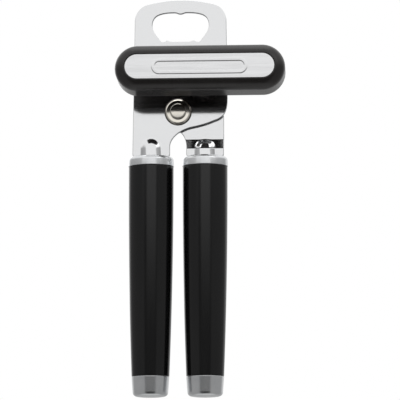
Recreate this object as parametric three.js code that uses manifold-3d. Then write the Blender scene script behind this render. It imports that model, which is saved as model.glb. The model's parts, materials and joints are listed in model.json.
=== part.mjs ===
// Manual can opener: two crossed steel arms on a pivot rivet, a turning knob that drives a serrated
// feed wheel, a geared cutting wheel, a bottle-opener head and two oval handles.
// Millimetres. X to the right, Y away from the user, Z up. The origin is the hang point, at the
// middle of the upper edge of the head's window, halfway through the front sheet.
import * as THREE from 'three';
import { mergeVertices } from 'three/addons/utils/BufferGeometryUtils.js';
import Module from 'manifold-3d';

const wasm = await Module();
wasm.setup();

// ---------------------------------------------------------------- driving dimensions

// Sheets
const sheet = 2.0; // thickness of both steel arms
const sheetGap = 0.7; // space between the two arms at the pivot
const slip = 0.2; // gap between pieces that lie face to face
const fit = 0.2; // gap all round between a pin and its bore

// Bottle-opener head
const crownRise = 6.8; // crown of the head above the window
const crownRadius = 70;
const headHalf = 24.4; // half width of the head at its shoulders
const shoulderRadius = 9.5;
const headFlare = 0.6; // how much wider the head is behind the knob, each side
const windowHalf = 15.1;
const windowHeight = 15.9;
const windowFoot = 10.4; // half width of the window along its lower edge
const capTooth = 0.75; // height of the small teeth that grip a bottle cap

// Pivot and arms
const pivotDrop = 54.2; // pivot axis below the hang point
const pivotShift = 1.2; // pivot axis left of the head's centre line
const handlePitch = 28.5; // spacing of the two handle axes
const armWidth = 19.8;
const collarDrop = 24.2; // top of the collars below the pivot axis
const lobeRise = 7.5; // start of the front sheet's curved edge above the pivot
const tangWidth = 14.5;
const tangLength = 62;
const armCorner = 1.6; // corner radius where the arm steps in to its tang
const forkDrop = 18.5; // start of the curve between the two arms below the pivot axis
const forkStep = 1; // how much lower that curve starts on the rear sheet
const pivotDisc = 10.5; // radius of the rear sheet behind the pivot
const cutterEar = 9.5; // radius of the rear sheet behind the cutter
const heelDrop = 2.4; // outer corner of the rear sheet below the pivot axis

// Stiffening ribs and the bend that brings the rear sheet forward
const ribHalf = 5.9;
const ribHeight = 1.5;
const ribFlank = 4.2;
const ribTopDrop = 13.4; // upper end of the ribs below the pivot axis
const ribInCollar = 8; // length of rib hidden in the collar
const bendDrop = 14.1; // start of the bend below the pivot axis
const bendHeight = 5.7;
const bendRound = 0.2; // share of the bend's height that each rounded end takes
const ribRound = 0.3; // the same for a rib's flank

// Handles
const oval = 0.84; // depth of a handle section over its width
const gripTopHalf = 11.9;
const gripEndHalf = 9.9;
const gripLength = 110.5;
const gripTaperPower = 2.2;
const collarHeight = 5.35;
const collarProud = 0.2; // collar outside the grip's surface
const collarWall = 1.3;
const collarShoulder = 1.9;
const capHeight = 10.95;
const capEndHalf = 9.15;
const capDome = 2.2;
const plugHalf = 6.4; // spigot of the end cap inside the grip
const plugLength = 9;
const capRim = 1.4; // height of the end cap's rounded rim
const capRoll = 0.35;
const capTaper = 0.1; // widening of the cap above its rim

// Knob
const driveRight = 13.0; // drive axis from the pivot axis
const driveUp = 17.2;
const knobLength = 88.6;
const knobWidth = 24.0;
const knobClear = 15.5; // finger room between the front sheet and the knob
const knobDepth = 19;
const bezel = 5.5; // width of the rounded rim around the inlay
const knobWall = 2.3;
const knobFloor = 7.6; // solid front of the knob
const inlaySheet = 0.8;
const inlayRecess = 0.2;
const hubRadius = 8.4;
const coverSheet = 1.8;
const coverInset = 0.5; // cover below the knob's rear rim
const knobRoll = 0.9; // rounding of the knob's rear rim
const bossWall = 2.4; // wall of the hub's inner end around the shaft
const weld = 0.1; // overlap of two bodies that are one piece
const knobScrewHead = 3.4;
const knobScrewShank = 1.6;
const knobScrewLength = 6;
const screwRecess = 1.2; // depth of the screw head below the inlay's floor
const keyLength = 44;
const keyWidth = 9;
const keySheet = 3;

// Drive and cutter shafts
const journal = 3.4; // radius of the drive shaft in its bush
const squareHalf = 2.5; // half side of the shaft's squared ends
const threadRadius = 2.3; // shaft's threaded end
const threadProud = 0.7; // thread past the nut
const spacerWall = 1.2;
const bushWall = 1.2;
const flangeSheet = 1.0; // thickness of flanges and thrust washers
const flangeOverhang = 2.2;
const wheelCentres = 19; // drive axis to cutter axis
const gearTeeth = 14;
const gearWidth = 3;
const gearTip = 0.85; // height of a tooth above the pitch circle, times the gear's module
const gearRoot = 1.15; // and its depth below
const pressureAngle = (20 * Math.PI) / 180;
const backlash = 0.35;
const feedRadius = 8.7;
const feedWidth = 2.5;
const feedTeeth = 30;
const feedToothDepth = 0.8;
const bladeLap = 0.9; // how far the blade's edge laps the feed wheel
const bladeSheet = 1.6;
const bladeBevel = 3.2;
const bladeEdge = 0.15; // thickness left at the blade's edge
const cutterHub = 5.4;
const cutterJournal = 3.0;
const studFlange = 0.8;
const nutHeight = 2.5;
const nutRadius = 4.7;
const screwHead = 1.6;
const screwSlot = 0.5; // half width of the cutter screw's slot
const slotDeep = 0.7;
const cutterScrewShank = 1.5;
const cutterWasherSheet = 0.5;

// Pivot rivet
const rivetShank = 3.0;
const rivetHeadRadius = 4.25;
const rivetHead = 1.1;
const ringRadius = 7.25; // bevelled front washer
const ringSheet = 1.2;
const ringBevel = 0.55;
// Rounding of the rivet's head: shares of its radius and height, from the middle outward
const headDome = [[0, 1], [0.5, 0.96], [0.86, 0.8], [1, 0.45], [1, 0]];

// ---------------------------------------------------------------- derived places

const pivot = { x: -pivotShift, z: -pivotDrop };
const drive = { x: pivot.x + driveRight, z: pivot.z + driveUp };
const cutter = { x: drive.x - wheelCentres, z: drive.z };
const frontFace = -sheet / 2;
const frontBack = sheet / 2;
const rearFace = frontBack + sheetGap;
const rearBack = rearFace + sheet;
const collarTop = pivot.z - collarDrop;
const gripTop = collarTop - collarHeight;
const gripEnd = gripTop - gripLength;
const capEnd = gripEnd - capHeight;
const armFoot = collarTop + fit; // the arms' shoulders stop just above the collars
const tangFoot = armFoot - tangLength;
const gearFace = rearBack + slip + studFlange + slip;
const gearBack = gearFace + gearWidth;
const feedFace = gearBack + slip;
const feedBack = feedFace + feedWidth;
const bladeFace = feedBack + slip;
const bladeRadius = wheelCentres - feedRadius + bladeLap;
const knobBack = frontFace - knobClear;
const knobFront = knobBack - knobDepth;

// ---------------------------------------------------------------- solid helpers

/** A closed solid from a three.js geometry: shared corners merged, faces turned outward. */
function solid(geometry) {
  const bare = new THREE.BufferGeometry();
  bare.setAttribute('position', geometry.getAttribute('position').clone());
  if (geometry.getIndex()) bare.setIndex(geometry.getIndex().clone());
  const merged = mergeVertices(bare, 1e-4);
  const position = merged.getAttribute('position');
  const index = merged.getIndex();
  const corner = [new THREE.Vector3(), new THREE.Vector3(), new THREE.Vector3()];
  const triangles = [];
  let volume = 0;
  for (let i = 0; i < index.count; i += 3) {
    const [a, b, c] = [index.getX(i), index.getX(i + 1), index.getX(i + 2)];
    if (a === b || b === c || c === a) continue;
    triangles.push([a, b, c]);
    [a, b, c].forEach((vertex, k) => corner[k].fromBufferAttribute(position, vertex));
    volume += corner[0].dot(corner[1].cross(corner[2]));
  }
  if (volume < 0) triangles.forEach((triangle) => triangle.reverse());
  const mesh = new wasm.Mesh({
    numProp: 3,
    vertProperties: new Float32Array(position.array),
    triVerts: new Uint32Array(triangles.flat()),
  });
  return new wasm.Manifold(mesh);
}

/** A flat outline in X and Z given thickness along Y, from y0 to y1. */
function plate(shape, y0, y1, curveSegments = 6) {
  const geometry = new THREE.ExtrudeGeometry(shape, { depth: y1 - y0, bevelEnabled: false, curveSegments });
  geometry.rotateX(Math.PI / 2);
  geometry.translate(0, y1, 0);
  return solid(geometry);
}

/** A turned piece about an axis along Y: the profile is a list of [radius, y]. */
function turned(profile, axis, segments = 24) {
  const points = profile.map(([radius, y]) => new THREE.Vector2(radius, y));
  const geometry = new THREE.LatheGeometry(points, segments, Math.PI / segments);
  geometry.translate(axis.x, 0, axis.z);
  return solid(geometry);
}

/** A turned ring about an axis along Y. */
function ring(inner, outer, y0, y1, axis, segments = 24) {
  const profile = [[inner, y0], [outer, y0], [outer, y1], [inner, y1], [inner, y0]];
  return turned(profile, axis, segments);
}

/** A turned pin about an axis along Y. */
function pin(radius, y0, y1, axis, segments = 24) {
  return turned([[0, y0], [radius, y0], [radius, y1], [0, y1]], axis, segments);
}

/** A turned piece about Y, pulled apart sideways so that its plan is a stadium of the given length. */
function stadium(profile, length, axis, segments = 28) {
  const widest = Math.max(...profile.map(([radius]) => radius));
  const shift = length / 2 - widest;
  const points = profile.map(([radius, y]) => new THREE.Vector2(radius, y));
  const geometry = new THREE.LatheGeometry(points, segments, Math.PI / segments);
  const position = geometry.getAttribute('position');
  for (let i = 0; i < position.count; i += 1) {
    const x = position.getX(i);
    const radius = Math.hypot(x, position.getZ(i));
    if (radius > 1e-6) position.setX(i, x + Math.sign(x) * shift);
  }
  geometry.translate(axis.x, 0, axis.z);
  return solid(geometry);
}

/** An oval turned piece about a vertical axis at x: the profile is a list of [half width, z]. */
function upright(profile, x, segments = 28) {
  const points = profile.map(([radius, z]) => new THREE.Vector2(radius, z));
  const geometry = new THREE.LatheGeometry(points, segments, Math.PI / segments);
  geometry.rotateX(Math.PI / 2);
  geometry.scale(1, oval, 1);
  geometry.translate(x, 0, 0);
  return solid(geometry);
}

/** A rectangular block from its lowest to its highest corner. */
function block(x0, x1, y0, y1, z0, z1) {
  const geometry = new THREE.BoxGeometry(x1 - x0, y1 - y0, z1 - z0);
  geometry.translate((x0 + x1) / 2, (y0 + y1) / 2, (z0 + z1) / 2);
  return solid(geometry);
}

/** A square bar along Y. */
function square(half, y0, y1, axis) {
  return block(axis.x - half, axis.x + half, y0, y1, axis.z - half, axis.z + half);
}

/** Points of a quarter round from one [radius, y] to another, leaving along the first coordinate. */
function quarter(from, to, steps = 4) {
  const points = [];
  for (let i = 1; i < steps; i += 1) {
    const angle = (i / steps) * (Math.PI / 2);
    const across = Math.sin(angle);
    const along = 1 - Math.cos(angle);
    points.push([from[0] + (to[0] - from[0]) * across, from[1] + (to[1] - from[1]) * along]);
  }
  return [from, ...points, to];
}

function clamp01(value) {
  return Math.min(1, Math.max(0, value));
}

/** Rises from 0 to 1 with a straight middle and rounded ends that each take a share of the way. */
function ramp(value, round) {
  const t = clamp01(value);
  if (t < round) return (t * t) / (2 * round * (1 - round));
  if (t > 1 - round) return 1 - ((1 - t) * (1 - t)) / (2 * round * (1 - round));
  return (t - round / 2) / (1 - round);
}

/** Evenly spaced values from a to b. */
function spaced(a, b, steps) {
  return Array.from({ length: steps + 1 }, (_, i) => a + ((b - a) * i) / steps);
}

/** A pressed sheet over a grid of lines: its middle surface lies at Y = form(x, z). */
function pressedSheet(xLines, zLines, form) {
  const nx = xLines.length - 1;
  const nz = zLines.length - 1;
  const geometry = new THREE.BoxGeometry(1, 1, 1, nx, 1, nz);
  const position = geometry.getAttribute('position');
  for (let i = 0; i < position.count; i += 1) {
    const x = xLines[Math.round((position.getX(i) + 0.5) * nx)];
    const z = zLines[Math.round((position.getZ(i) + 0.5) * nz)];
    const y = form(x, z) + (Math.sign(position.getY(i)) * sheet) / 2;
    position.setXYZ(i, x, y, z);
  }
  return solid(geometry);
}

// ---------------------------------------------------------------- materials

function finish(color, roughness, metalness) {
  return new THREE.MeshStandardMaterial({ color, roughness, metalness });
}

const polishedSteel = finish(0xdcdee0, 0.12, 1);
const brushedSteel = finish(0xd2d4d6, 0.35, 1);
const satinMetal = finish(0xa9acb0, 0.38, 1);
const nickel = finish(0xe4dccb, 0.18, 1);
const wheelSteel = finish(0xb9bcc0, 0.3, 1);
const glossPlastic = finish(0x101012, 0.22, 0);
const knobPlastic = finish(0x151314, 0.3, 0);
const bushBronze = finish(0xa8865a, 0.4, 1);

const group = new THREE.Group();

/** Adds a finished solid to the opener as a named mesh. */
function add(name, body, material) {
  const { vertProperties, triVerts } = body.getMesh();
  const geometry = new THREE.BufferGeometry();
  geometry.setAttribute('position', new THREE.BufferAttribute(vertProperties, 3));
  geometry.setIndex(new THREE.BufferAttribute(triVerts, 1));
  geometry.computeVertexNormals();
  const mesh = new THREE.Mesh(geometry, material);
  mesh.name = name;
  group.add(mesh);
}

// ---------------------------------------------------------------- arms

const handleX = { left: pivot.x - handlePitch / 2, right: pivot.x + handlePitch / 2 };
const ribFoot = collarTop - ribInCollar;
const bushHole = journal + fit + bushWall + fit;

/** Forward rise of a handle's stiffening rib at (x, z). */
function rib(x, z, axisX) {
  const domeZ = pivot.z - ribTopDrop - ribHalf;
  const away = Math.hypot(x - axisX, Math.max(0, z - domeZ));
  const side = ramp((ribHalf - away) / ribFlank, ribRound);
  const foot = ramp((z - ribFoot) / ribFlank, ribRound);
  return ribHeight * side * foot;
}

/** Grid lines across and along an arm, close together where the sheet is pressed. */
function armGrid(axisX) {
  const busyTop = pivot.z - Math.min(ribTopDrop, bendDrop);
  const reach = headHalf * 3; // past the widest outline
  const xLines = [
    axisX - reach,
    ...spaced(axisX - ribHalf, axisX - ribHalf + ribFlank, 3),
    axisX,
    ...spaced(axisX + ribHalf - ribFlank, axisX + ribHalf, 3),
    axisX + reach,
  ];
  const zLines = [
    tangFoot - sheet,
    ...spaced(ribFoot, ribFoot + ribFlank, 3),
    ...spaced(pivot.z - bendDrop - bendHeight, busyTop, 10),
    crownRise + sheet,
  ];
  return [xLines, zLines];
}

/** Draws an arm's shoulders and tang, from the side away from `towards` round to the other side. */
function tangPath(shape, axisX, towards) {
  const half = tangWidth / 2;
  const flat = half / 2; // half width of the tang's straight end
  const armHalf = armWidth / 2;
  shape.lineTo(axisX - towards * armHalf, armFoot + armCorner);
  shape.quadraticCurveTo(
    axisX - towards * armHalf, armFoot, axisX - towards * (armHalf - armCorner), armFoot);
  shape.lineTo(axisX - towards * half, armFoot);
  shape.lineTo(axisX - towards * half, tangFoot + flat);
  shape.quadraticCurveTo(axisX - towards * half, tangFoot, axisX - towards * flat, tangFoot);
  shape.lineTo(axisX + towards * flat, tangFoot);
  shape.quadraticCurveTo(axisX + towards * half, tangFoot, axisX + towards * half, tangFoot + flat);
  shape.lineTo(axisX + towards * half, armFoot);
  shape.lineTo(axisX + towards * (armHalf - armCorner), armFoot);
  shape.quadraticCurveTo(
    axisX + towards * armHalf, armFoot, axisX + towards * armHalf, armFoot + armCorner);
}

/** Outline of the bottle-opener window, with one cap tooth above and two below. */
function windowOutline() {
  const foot = -windowHeight;
  const tooth = windowFoot - 3.6; // middle of a lower tooth from the centre line
  // Curves of one half, from the upper tooth down to the straight lower edge.
  const half = (side) => [
    [[side * 0.6, -capTooth], [side * 1.2, 0], [side * 2.2, 0]],
    [[side * (windowHalf - 7), 0.05], [side * (windowHalf - 4.2), -0.9]],
    [[side * windowHalf, -2.2], [side * windowHalf, -7]],
    [[side * windowHalf, -10], [side * (windowFoot + 1), foot + 1.6]],
    [[side * (windowFoot + 0.3), foot], [side * (windowFoot - 0.6), foot]],
    [[side * (tooth + 1.4), foot], [side * (tooth + 0.5), foot + capTooth]],
    [[side * (tooth - 0.4), foot + capTooth], [side * (tooth - 2), foot + 0.1]],
  ];
  const path = new THREE.Shape();
  path.moveTo(0, -capTooth);
  half(1).forEach((curve) => drawCurve(path, curve));
  const left = half(-1);
  const ends = [[0, -capTooth], ...left.map((curve) => curve.at(-1))];
  path.lineTo(...ends.at(-1));
  for (let i = left.length - 1; i >= 0; i -= 1) {
    drawCurve(path, [...left[i].slice(0, -1).reverse(), ends[i]]);
  }
  return path;
}

/** Draws a quadratic or cubic curve given its control points and its end. */
function drawCurve(path, points) {
  if (points.length === 2) path.quadraticCurveTo(...points[0], ...points[1]);
  else path.bezierCurveTo(...points[0], ...points[1], ...points[2]);
}

/** Outline of the front sheet: left arm, bottle-opener head and the lobe that carries the drive. */
function frontOutline() {
  const shape = new THREE.Shape();
  const axisX = handleX.left;
  const inner = axisX + armWidth / 2;
  const shoulder = shoulderCentre();
  const meet = Math.atan2(shoulder.z - (crownRise - crownRadius), shoulder.x);
  const lobeX = headHalf + headFlare;
  const lobeZ = pivot.z + lobeRise;
  shape.moveTo(inner, pivot.z - forkDrop);
  tangPath(shape, axisX, -1);
  shape.lineTo(-headHalf, shoulder.z);
  shape.absarc(-shoulder.x, shoulder.z, shoulderRadius, Math.PI, Math.PI - meet, true);
  shape.absarc(0, crownRise - crownRadius, crownRadius, Math.PI - meet, meet, true);
  shape.absarc(shoulder.x, shoulder.z, shoulderRadius, meet, 0, true);
  shape.lineTo(lobeX, lobeZ);
  shape.bezierCurveTo(
    lobeX - 0.1, lobeZ - 6.3, lobeX - 2.5, lobeZ - 10.1, lobeX - 7.3, lobeZ - 12.2);
  shape.bezierCurveTo(
    lobeX - 10.9, lobeZ - 13.8, lobeX - 15.1, lobeZ - 14.9, inner + 11.8, pivot.z - 8.1);
  shape.bezierCurveTo(
    inner + 6, pivot.z - 9.3, inner, pivot.z - 13.4, inner, pivot.z - forkDrop);
  return shape;
}

/** Centre of the right shoulder's arc, which runs smoothly into the crown's arc. */
function shoulderCentre() {
  const x = headHalf - shoulderRadius;
  const reach = crownRadius - shoulderRadius;
  return { x, z: crownRise - crownRadius + Math.sqrt(reach * reach - x * x) };
}

/** Outline of the rear sheet: right arm, pivot disc and the ear that carries the cutter. */
function rearOutline() {
  const shape = new THREE.Shape();
  const axisX = handleX.right;
  const inner = axisX - armWidth / 2;
  const outer = axisX + armWidth / 2;
  const foot = Math.asin(heelDrop / pivotDisc);
  shape.moveTo(outer, armFoot + armCorner);
  shape.lineTo(outer, pivot.z - heelDrop);
  shape.quadraticCurveTo(outer, pivot.z + 0.3, outer - 3, pivot.z + 0.3);
  shape.quadraticCurveTo(pivot.x + 15, pivot.z + 1, pivot.x + 10, pivot.z + 7);
  shape.lineTo(cutter.x + cutterEar, cutter.z - 4);
  shape.lineTo(cutter.x + cutterEar, cutter.z);
  shape.absarc(cutter.x, cutter.z, cutterEar, 0, Math.PI, false);
  shape.quadraticCurveTo(cutter.x - cutterEar, cutter.z - 8, pivot.x - pivotDisc, pivot.z + 2);
  shape.absarc(pivot.x, pivot.z, pivotDisc, Math.PI * 0.95, Math.PI * 1.5 + foot / 2, false);
  shape.bezierCurveTo(
    inner - 1.4, pivot.z - 12, inner, pivot.z - 15, inner, pivot.z - forkDrop - forkStep);
  shape.lineTo(inner, armFoot + armCorner);
  tangPath(shape, axisX, 1);
  return shape;
}

// Both arms are cut from pressed sheet between these two planes.
const sheetFront = frontFace - sheet * 2;
const sheetBack = rearBack + sheet;

const frontPlate = pressedSheet(...armGrid(handleX.left), (x, z) => -rib(x, z, handleX.left))
  .intersect(plate(frontOutline(), sheetFront, sheetBack))
  .subtract(plate(windowOutline(), sheetFront, sheetBack))
  .subtract(pin(rivetShank + fit, sheetFront, sheetBack, pivot))
  .subtract(pin(bushHole, sheetFront, sheetBack, drive));
add('front_plate', frontPlate, polishedSteel);

const bendFoot = pivot.z - bendDrop - bendHeight;
const rearForm = (x, z) =>
  (sheet + sheetGap) * ramp((z - bendFoot) / bendHeight, bendRound) - rib(x, z, handleX.right);
const rearPlate = pressedSheet(...armGrid(handleX.right), rearForm)
  .intersect(plate(rearOutline(), sheetFront, sheetBack))
  .subtract(pin(rivetShank + fit, sheetFront, sheetBack, pivot))
  .subtract(pin(cutterJournal + fit, sheetFront, sheetBack, cutter));
add('rear_plate', rearPlate, polishedSteel);

// ---------------------------------------------------------------- pivot

add('pivot_front_washer', turned([
  [rivetShank + fit, frontFace - slip],
  [ringRadius, frontFace - slip],
  [ringRadius, frontFace - slip - ringSheet + ringBevel],
  [ringRadius - ringBevel, frontFace - slip - ringSheet],
  [rivetShank + fit, frontFace - slip - ringSheet],
  [rivetShank + fit, frontFace - slip],
], pivot, 32), nickel);

add('pivot_spacer', ring(rivetShank + fit, ringRadius, frontBack + slip / 2, rearFace - slip / 2, pivot),
  bushBronze);

const rearWasher = rearBack + slip;
add('pivot_rear_washer', ring(rivetShank + fit, ringRadius - 1, rearWasher, rearWasher + flangeSheet, pivot),
  nickel);

const rivetSeat = frontFace - slip - ringSheet - slip;
const rivetTail = rearWasher + flangeSheet + slip;
add('pivot_rivet', turned([
  ...headDome.map(([across, high]) => [rivetHeadRadius * across, rivetSeat - rivetHead * high]),
  [rivetShank, rivetSeat],
  [rivetShank, rivetTail],
  [rivetHeadRadius, rivetTail],
  [rivetHeadRadius * 0.9, rivetTail + rivetHead * 0.7],
  [rivetHeadRadius * 0.5, rivetTail + rivetHead],
  [0, rivetTail + rivetHead],
], pivot, 32), nickel);

// ---------------------------------------------------------------- handles

/** The opening in a collar and the mouth of a grip: the tang's section with its rib. */
function tangMouth(axisX, z0, z1) {
  const half = tangWidth / 2 + fit;
  const back = sheet / 2 + fit;
  const crest = ribHalf - ribFlank + fit;
  const shape = new THREE.Shape();
  shape.moveTo(axisX - half, back);
  shape.lineTo(axisX + half, back);
  shape.lineTo(axisX + half, -back);
  shape.lineTo(axisX + ribHalf + fit, -back);
  shape.lineTo(axisX + crest, -back - ribHeight);
  shape.lineTo(axisX - crest, -back - ribHeight);
  shape.lineTo(axisX - ribHalf - fit, -back);
  shape.lineTo(axisX - half, -back);
  const geometry = new THREE.ExtrudeGeometry(shape, { depth: z1 - z0, bevelEnabled: false });
  geometry.translate(0, 0, z0);
  return solid(geometry);
}

/** Half width of the grip at a distance below its top. */
function gripHalf(down) {
  return gripTopHalf - (gripTopHalf - gripEndHalf) * (down / gripLength) ** gripTaperPower;
}

function makeHandle(side, axisX) {
  const collarHalf = gripTopHalf + collarProud;
  const neckHalf = collarHalf - collarWall - fit;
  const neckTop = collarTop - collarWall - fit;

  // Collar: a metal cup over the grip's neck, with an opening for the tang.
  const collarFoot = gripTop + fit;
  const collar = upright([
    [0, collarTop],
    ...quarter([collarHalf - collarShoulder, collarTop], [collarHalf, collarTop - collarShoulder]),
    [collarHalf, collarFoot],
    [collarHalf - collarWall, collarFoot],
    [collarHalf - collarWall, collarTop - collarWall],
    [0, collarTop - collarWall],
  ], axisX).subtract(tangMouth(axisX, gripTop, collarTop + sheet));
  add(`${side}_collar`, collar, satinMetal);

  // Grip: a tapering oval body, slotted for the tang and bored for the end cap's plug.
  const steps = 7;
  const skin = spaced(0, gripLength, steps).map((down) => [gripHalf(down), gripTop - down]);
  const bore = plugHalf + fit;
  const body = upright([
    [0, neckTop],
    [neckHalf, neckTop],
    [neckHalf, gripTop],
    ...skin,
    [bore, gripEnd],
    [bore, gripEnd + plugLength + fit],
    [0, gripEnd + plugLength + fit],
  ], axisX);
  const slotHalf = tangWidth / 2 + fit;
  const slotDepth = sheet / 2 + fit;
  const slot = block(axisX - slotHalf, axisX + slotHalf, -slotDepth, slotDepth, tangFoot - 1, neckTop + 1);
  const grip = body.subtract(slot).subtract(tangMouth(axisX, ribFoot - fit, neckTop + 1));
  add(`${side}_grip`, grip, glossPlastic);

  // End cap: a domed metal cap on a plug.
  const capTop = gripEnd - fit;
  const rimZ = capEnd + capDome;
  add(`${side}_end_cap`, upright([
    [0, gripEnd + plugLength],
    [plugHalf, gripEnd + plugLength],
    [plugHalf, capTop],
    [gripEndHalf, capTop],
    [capEndHalf + capTaper, rimZ + capRim],
    [capEndHalf - capRoll, rimZ + capRoll],
    [capEndHalf - capRim, rimZ - capRoll],
    [capEndHalf * 0.55, capEnd + capDome * 0.28],
    [capEndHalf * 0.25, capEnd + capDome * 0.06],
    [0, capEnd],
  ], axisX), satinMetal);
}

makeHandle('left', handleX.left);
makeHandle('right', handleX.right);

// ---------------------------------------------------------------- drive: bush, shaft and knob

const bushFace = frontFace - slip - flangeSheet;
add('drive_bush', turned([
  [journal + fit, bushFace],
  [bushHole + flangeOverhang, bushFace],
  [bushHole + flangeOverhang, frontFace - slip],
  [bushHole - fit, frontFace - slip],
  [bushHole - fit, frontBack],
  [journal + fit, frontBack],
  [journal + fit, bushFace],
], drive), bushBronze);

const thrustBack = bushFace - slip;
const hubEnd = thrustBack - flangeSheet - slip;
add('hub_washer', ring(journal + fit, hubRadius, thrustBack - flangeSheet, thrustBack, drive), nickel);

const keyFront = knobFront + knobFloor + slip;
const keyBack = keyFront + keySheet;
const coverBack = knobBack - coverInset;
const coverFront = coverBack - coverSheet;
const innerWidth = knobWidth / 2 - knobWall;

// Knob core: the cover that closes the knob's back, with the hub that stands on the shaft.
const core = stadium([
  [0, coverFront],
  [innerWidth - fit, coverFront],
  [innerWidth - fit, coverBack],
  [0, coverBack],
], knobLength - 2 * (knobWall + fit), drive)
  .add(pin(hubRadius, coverFront - weld, hubEnd, drive, 28))
  .add(pin(journal + fit + bossWall, keyBack + slip, coverFront + weld, drive))
  .subtract(pin(journal + fit, keyBack - 1, hubEnd + 1, drive));
add('knob_core', core, knobPlastic);

// Knob shell: a stadium with a rounded front rim, a recess for the inlay and a hollow back.
const outer = knobWidth / 2;
const inlayHalf = outer - bezel;
const inlayLength = knobLength - 2 * bezel;
const inlayFront = knobFront + inlayRecess;
const inlayFloor = inlayFront + inlaySheet + slip / 2;
const keyPocket = keyLength / 2 + fit;
const screwPocket = inlayFloor + screwHead + screwRecess;
const shell = stadium([
  [0, knobFront],
  ...quarter([inlayHalf + 0.3, knobFront], [outer, knobFront + bezel], 4),
  ...quarter([outer - knobRoll, knobBack], [outer, knobBack - knobRoll], 2).reverse(),
  [innerWidth, knobBack],
  [innerWidth, keyFront - slip],
  [0, keyFront - slip],
], knobLength, drive)
  .subtract(stadium([
    [0, knobFront - 1],
    [inlayHalf + fit / 2, knobFront - 1],
    [inlayHalf + fit / 2, inlayFloor],
    [0, inlayFloor],
  ], inlayLength + fit, drive))
  .subtract(pin(knobScrewHead + fit, inlayFloor - 1, screwPocket, drive))
  .subtract(pin(knobScrewShank + fit, screwPocket - 1, keyFront, drive));
add('knob_shell', shell, knobPlastic);

add('knob_inlay', stadium([
  [0, inlayFront],
  [inlayHalf - 0.2, inlayFront],
  [inlayHalf, inlayFront + 0.2],
  [inlayHalf, inlayFront + inlaySheet],
  [0, inlayFront + inlaySheet],
], inlayLength, drive), brushedSteel);

// Key: a flat steel bar on the shaft's squared end, held in the knob's hollow.
const keyHalf = keyWidth / 2;
add('knob_key', block(drive.x - keyPocket + fit, drive.x + keyPocket - fit, keyFront, keyBack,
  drive.z - keyHalf, drive.z + keyHalf)
  .subtract(square(squareHalf + fit, keyFront - 1, keyBack + 1, drive)), wheelSteel);

const screwSeat = screwPocket - slip;
const screwTip = keyFront + knobScrewLength;
add('knob_screw', turned([
  [0, screwSeat - screwHead],
  [knobScrewHead * 0.8, screwSeat - screwHead],
  [knobScrewHead, screwSeat - screwHead * 0.6],
  [knobScrewHead, screwSeat],
  [knobScrewShank, screwSeat],
  [knobScrewShank, screwTip],
  [0, screwTip],
], drive, 20), wheelSteel);

// Drive shaft: squared at both ends, round in the hub and bush, bored in front for the screw.
const shaftEnd = feedBack + slip + nutHeight + threadProud;
const shaft = square(squareHalf, keyFront, keyBack + slip, drive)
  .add(pin(journal, keyBack + slip / 2, gearFace - slip, drive))
  .add(square(squareHalf, gearFace - slip - weld, feedBack, drive))
  .add(pin(threadRadius, feedBack - weld, shaftEnd, drive, 24))
  .subtract(pin(knobScrewShank + fit, keyFront - 1, screwTip + fit, drive, 24));
add('drive_shaft', shaft, wheelSteel);

add('drive_spacer', ring(journal + fit, journal + fit + spacerWall, frontBack + slip, gearFace - slip, drive),
  wheelSteel);

// ---------------------------------------------------------------- gears and wheels

/** Half the angle of a gear tooth at a radius, on an involute flank with 20 degree pressure angle. */
function toothAngle(radius, pitchRadius) {
  const involute = (angle) => Math.tan(angle) - angle;
  const base = pitchRadius * Math.cos(pressureAngle);
  const here = Math.acos(Math.min(1, base / radius));
  const atPitch = Math.PI / (2 * gearTeeth) - backlash / (2 * pitchRadius);
  return atPitch + involute(pressureAngle) - involute(here);
}

/** Outline of a gear about an axis; phase turns its teeth. */
function gearOutline(axis, phase) {
  const pitchRadius = wheelCentres / 2;
  const module = (2 * pitchRadius) / gearTeeth;
  const root = pitchRadius - gearRoot * module;
  const tip = pitchRadius + gearTip * module;
  const radii = [root, pitchRadius - 0.3 * module, pitchRadius + 0.4 * module, tip];
  const shape = new THREE.Shape();
  for (let tooth = 0; tooth < gearTeeth; tooth += 1) {
    const middle = phase + (tooth * 2 * Math.PI) / gearTeeth;
    const flank = [
      ...radii.map((radius) => [radius, middle - toothAngle(radius, pitchRadius)]),
      ...radii.toReversed().map((radius) => [radius, middle + toothAngle(radius, pitchRadius)]),
    ];
    flank.forEach(([radius, angle], i) => {
      const point = [axis.x + radius * Math.cos(angle), axis.z + radius * Math.sin(angle)];
      if (tooth === 0 && i === 0) shape.moveTo(...point);
      else shape.lineTo(...point);
    });
  }
  return shape;
}

/** Outline of a wheel with pointed teeth around its rim. */
function serratedOutline(axis, radius, depth, teeth) {
  const shape = new THREE.Shape();
  for (let i = 0; i < teeth * 2; i += 1) {
    const angle = (i * Math.PI) / teeth;
    const reach = i % 2 ? radius - depth : radius;
    const point = [axis.x + reach * Math.cos(angle), axis.z + reach * Math.sin(angle)];
    if (i === 0) shape.moveTo(...point);
    else shape.lineTo(...point);
  }
  return shape;
}

const driveGear = plate(gearOutline(drive, Math.PI), gearFace, gearBack)
  .subtract(square(squareHalf + fit, gearFace - 1, gearBack + 1, drive));
add('drive_gear', driveGear, wheelSteel);

const feedWheel = plate(serratedOutline(drive, feedRadius, feedToothDepth, feedTeeth), feedFace, feedBack)
  .subtract(square(squareHalf + fit, feedFace - 1, feedBack + 1, drive));
add('feed_wheel', feedWheel, wheelSteel);

const nutFace = feedBack + slip;
add('feed_wheel_nut', pin(nutRadius, nutFace, nutFace + nutHeight, drive, 6)
  .subtract(pin(threadRadius + fit, nutFace - 1, nutFace + nutHeight + 1, drive, 24)), nickel);

const cutterGear = plate(gearOutline(cutter, Math.PI / gearTeeth), gearFace, gearBack)
  .subtract(pin(cutterJournal + fit, gearFace - 1, gearBack + 1, cutter));
add('cutter_gear', cutterGear, wheelSteel);

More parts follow.
